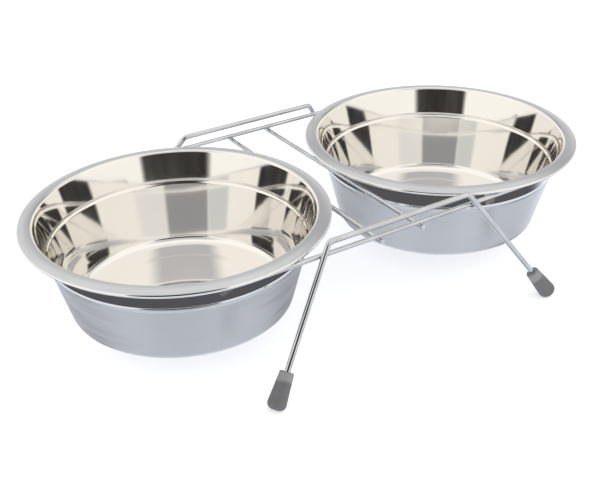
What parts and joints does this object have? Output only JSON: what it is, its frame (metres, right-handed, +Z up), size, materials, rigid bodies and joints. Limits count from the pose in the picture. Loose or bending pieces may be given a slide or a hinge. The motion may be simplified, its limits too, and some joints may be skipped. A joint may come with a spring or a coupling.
{
  "type": "double pet bowl",
  "caption": "Pair of round pressed steel feeding bowls that lie in a low welded wire stand on splayed legs with rubber feet and lift straight out for washing.",
  "frame": {"origin": "on the floor, in the middle between the bowls", "axes": "+X along the pair of bowls, +Y towards the back, +Z up"},
  "size_m": [0.4814, 0.2906, 0.0985],
  "materials": {
    "bowl_steel": "polished inside, satin on the rim and outside",
    "wire": "bright plated",
    "foot_rubber": "matte grey"
  },
  "bodies": {
    "stand": {"support_rail": "wire", "left_cross_wire": "wire", "right_cross_wire": "wire", "front_leg_frame": "wire", "back_leg_frame": "wire", "front_left_foot": "foot_rubber", "front_right_foot": "foot_rubber", "back_left_foot": "foot_rubber", "back_right_foot": "foot_rubber"},
    "left_bowl": {"left_bowl": "bowl_steel"},
    "right_bowl": {"right_bowl": "bowl_steel"}
  },
  "joints": [
    {"name": "left_bowl_lift", "type": "slide", "parent": "stand", "child": "left_bowl", "axis": [0, 0, 1], "range_m": [0, 0.12]},
    {"name": "right_bowl_lift", "type": "slide", "parent": "stand", "child": "right_bowl", "axis": [0, 0, 1], "range_m": [0, 0.12]}
  ]
}
